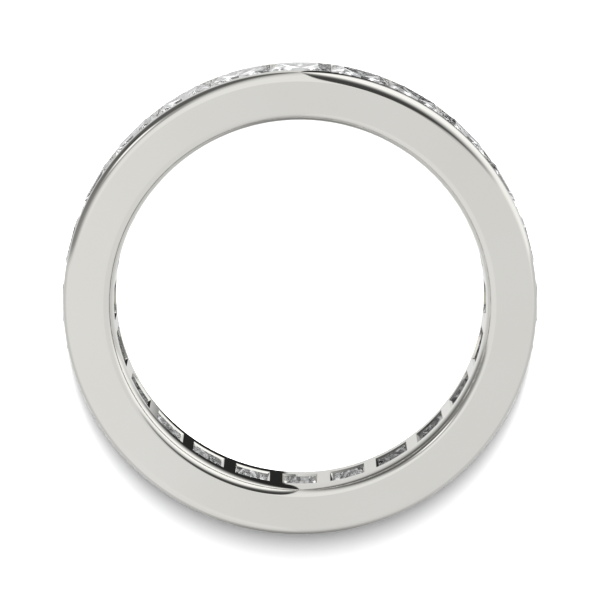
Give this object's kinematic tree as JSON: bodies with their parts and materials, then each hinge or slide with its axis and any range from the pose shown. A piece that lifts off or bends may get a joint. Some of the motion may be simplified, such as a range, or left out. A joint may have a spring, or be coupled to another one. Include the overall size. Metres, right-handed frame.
{
  "type": "wedding ring",
  "caption": "Polished white metal wedding ring, its rim channel-set all round with square cut stones edge to edge, with a small window behind each stone.",
  "frame": {"origin": "centre of the finger hole, in the plane of the side face that the ring rests on", "axes": "+Z along the finger axis, away from the resting face; +Y through the middle of the first stone"},
  "size_m": [0.021, 0.021, 0.0033],
  "materials": {
    "white_gold": "polished",
    "clear_stone": "polished"
  },
  "bodies": {
    "root": {"band": "white_gold", "stone_01": "clear_stone", "stone_02": "clear_stone", "stone_03": "clear_stone", "stone_04": "clear_stone", "stone_05": "clear_stone", "stone_06": "clear_stone", "stone_07": "clear_stone", "stone_08": "clear_stone", "stone_09": "clear_stone", "stone_10": "clear_stone", "stone_11": "clear_stone", "stone_12": "clear_stone", "stone_13": "clear_stone", "stone_14": "clear_stone", "stone_15": "clear_stone", "stone_16": "clear_stone", "stone_17": "clear_stone", "stone_18": "clear_stone", "stone_19": "clear_stone", "stone_20": "clear_stone", "stone_21": "clear_stone", "stone_22": "clear_stone", "stone_23": "clear_stone", "stone_24": "clear_stone"}
  },
  "joints": []
}
